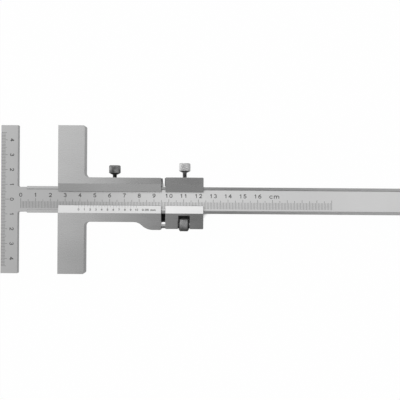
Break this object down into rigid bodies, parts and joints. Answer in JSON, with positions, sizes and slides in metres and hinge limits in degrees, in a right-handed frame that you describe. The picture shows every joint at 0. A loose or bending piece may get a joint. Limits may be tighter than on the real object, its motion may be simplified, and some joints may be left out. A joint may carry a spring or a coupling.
{
  "type": "marking caliper",
  "caption": "Vernier marking caliper: T-shaped beam with a cross rule, a sliding T stop, and a clamp with a knurled nut for fine adjustment.",
  "frame": {"origin": "middle of the caliper's bounding box, on the surface that its slider and clamp lie on", "axes": "+X along the beam from the cross rule to the free end, +Y across the beam towards the lock screws, +Z out of the graduated face"},
  "size_m": [0.27, 0.1, 0.0095],
  "materials": {
    "beam_steel": "satin chrome scale face between ground rails",
    "slider_steel": "fine ground, satin chrome on the vernier bevel",
    "clamp_steel": "fine ground, satin chrome on the lower bevel",
    "spring_steel": "rolled spring steel",
    "screw_steel": "turned and knurled",
    "nut_steel": "turned and knurled",
    "spindle_steel": "bright threaded rod",
    "pin_steel": "ground dowel"
  },
  "bodies": {
    "beam": {"t_beam": "beam_steel"},
    "clamp": {"clamp_body": "clamp_steel"},
    "slider": {"slider_body": "slider_steel", "fine_adjust_spindle": "spindle_steel", "spindle_retaining_pin": "pin_steel"},
    "nut": {"fine_adjust_nut": "nut_steel"},
    "slider_gib": {"slider_gib_spring": "spring_steel"},
    "slider_screw": {"slider_lock_screw": "screw_steel"},
    "clamp_gib": {"clamp_gib_spring": "spring_steel"},
    "clamp_screw": {"clamp_lock_screw": "screw_steel"}
  },
  "joints": [
    {"name": "clamp_slide", "type": "slide", "parent": "beam", "child": "clamp", "axis": [1, 0, 0], "range_m": [-0.021, 0.1211]},
    {"name": "nut_turn", "type": "hinge", "parent": "clamp", "child": "nut", "pos_m": [-0.01135, -0.0165, 0.005], "axis": [1, 0, 0], "range_deg": [-288, 4320]},
    {"name": "fine_feed", "type": "slide", "parent": "clamp", "child": "slider", "axis": [1, 0, 0], "range_m": [-0.006, 0.0004]},
    {"name": "slider_screw_turn", "type": "hinge", "parent": "slider_gib", "child": "slider_screw", "pos_m": [-0.0584, 0.015, 0.0048], "axis": [0, 1, 0], "range_deg": [-180, 180]},
    {"name": "slider_gib_press", "type": "slide", "parent": "slider", "child": "slider_gib", "axis": [0, 1, 0], "range_m": [-0.00025, 0.00025]},
    {"name": "clamp_screw_turn", "type": "hinge", "parent": "clamp_gib", "child": "clamp_screw", "pos_m": [-0.011, 0.015, 0.0048], "axis": [0, 1, 0], "range_deg": [-180, 180]},
    {"name": "clamp_gib_press", "type": "slide", "parent": "clamp", "child": "clamp_gib", "axis": [0, 1, 0], "range_m": [-0.00025, 0.00025]}
  ],
  "couplings": [
    {"joint": "nut_turn", "follows": "fine_feed", "rad_per_m": -12566},
    {"joint": "slider_screw_turn", "follows": "slider_gib_press", "rad_per_m": 12566},
    {"joint": "clamp_screw_turn", "follows": "clamp_gib_press", "rad_per_m": 12566}
  ]
}
